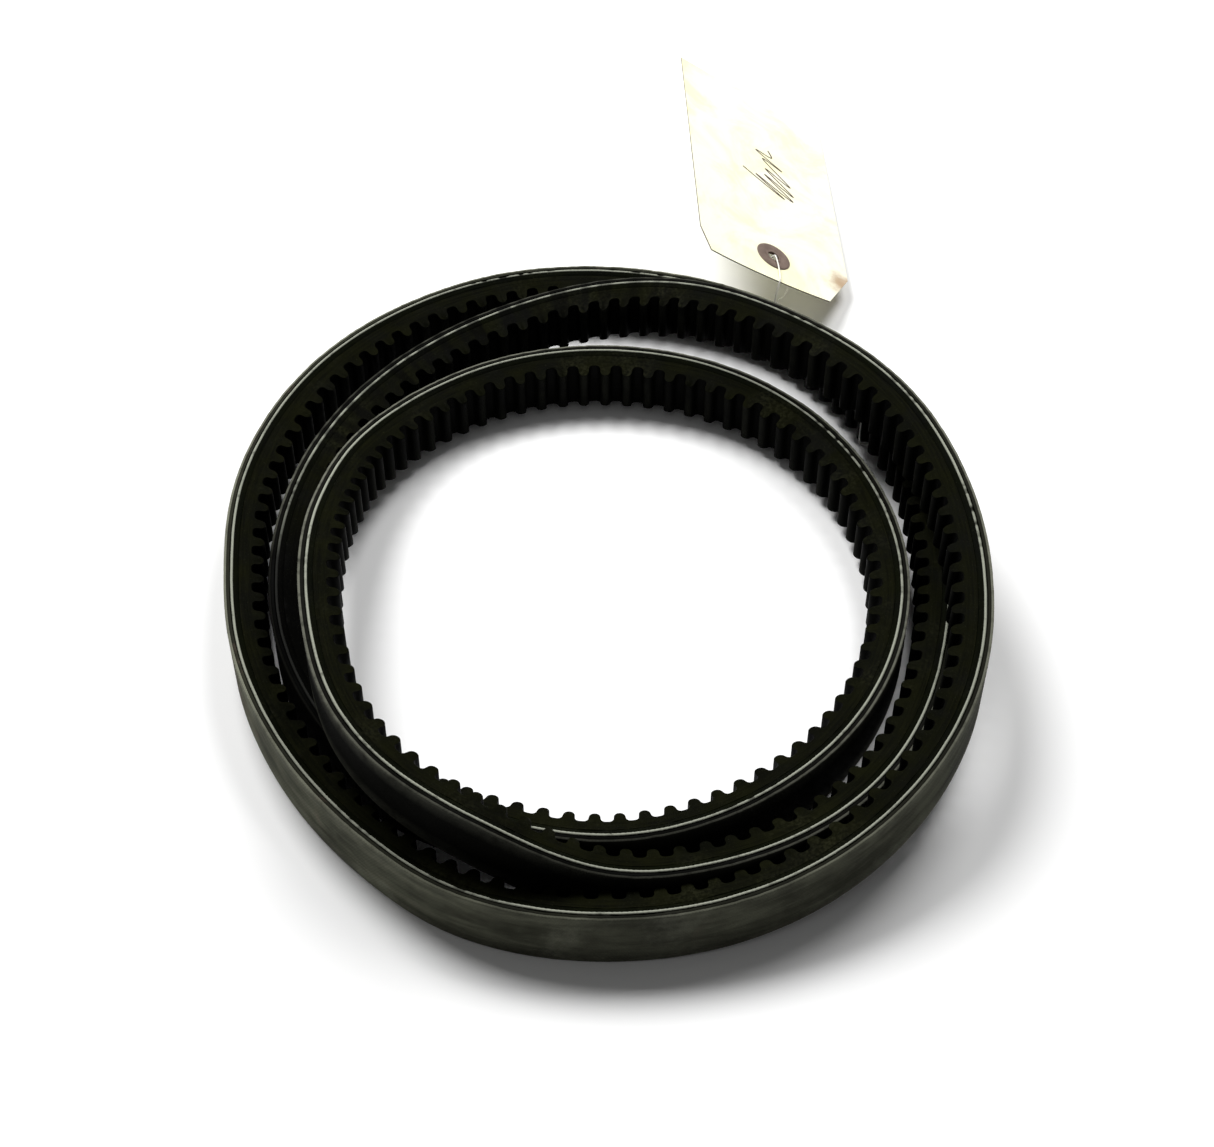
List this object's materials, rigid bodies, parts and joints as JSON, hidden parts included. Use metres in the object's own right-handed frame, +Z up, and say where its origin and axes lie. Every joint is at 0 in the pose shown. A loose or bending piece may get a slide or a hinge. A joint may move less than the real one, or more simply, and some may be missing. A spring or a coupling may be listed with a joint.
{
  "type": "cogged v-belt with shipping tag",
  "caption": "Endless raw-edge cogged V-belt coiled into three turns, lying on its edge, with a reinforced card tag tied to it by string.",
  "frame": {"origin": "middle of the footprint of coil and tag, on the table", "axes": "+Z up along the coil's axis, +Y from the coil towards the tag"},
  "size_m": [0.2502, 0.4199, 0.0466],
  "materials": {
    "backing_fabric": "rubberised fabric, worn and dusty",
    "adhesion_rubber": "matt",
    "tensile_cord": "twisted cord, cut at the sidewalls",
    "compression_rubber": "cut sidewalls matt, moulded cogs slightly smoother",
    "manila_card": "uncoated manila card",
    "red_fibre": "vulcanised fibre",
    "cotton_string": "twisted cotton"
  },
  "bodies": {
    "belt": {"back_fabric_outer": "backing_fabric", "back_fabric_inner": "backing_fabric", "tensile_cord_band": "tensile_cord", "adhesion_gum": "adhesion_rubber", "cog_body": "compression_rubber", "tag_string": "cotton_string"},
    "tag": {"tag_card": "manila_card", "tag_patch_top": "red_fibre", "tag_patch_under": "red_fibre"}
  },
  "joints": [
    {"name": "tag_lift", "type": "hinge", "parent": "belt", "child": "tag", "pos_m": [0.0671, 0.09189, 0.0212], "axis": [1, 0, 0], "range_deg": [0, 25]}
  ]
}
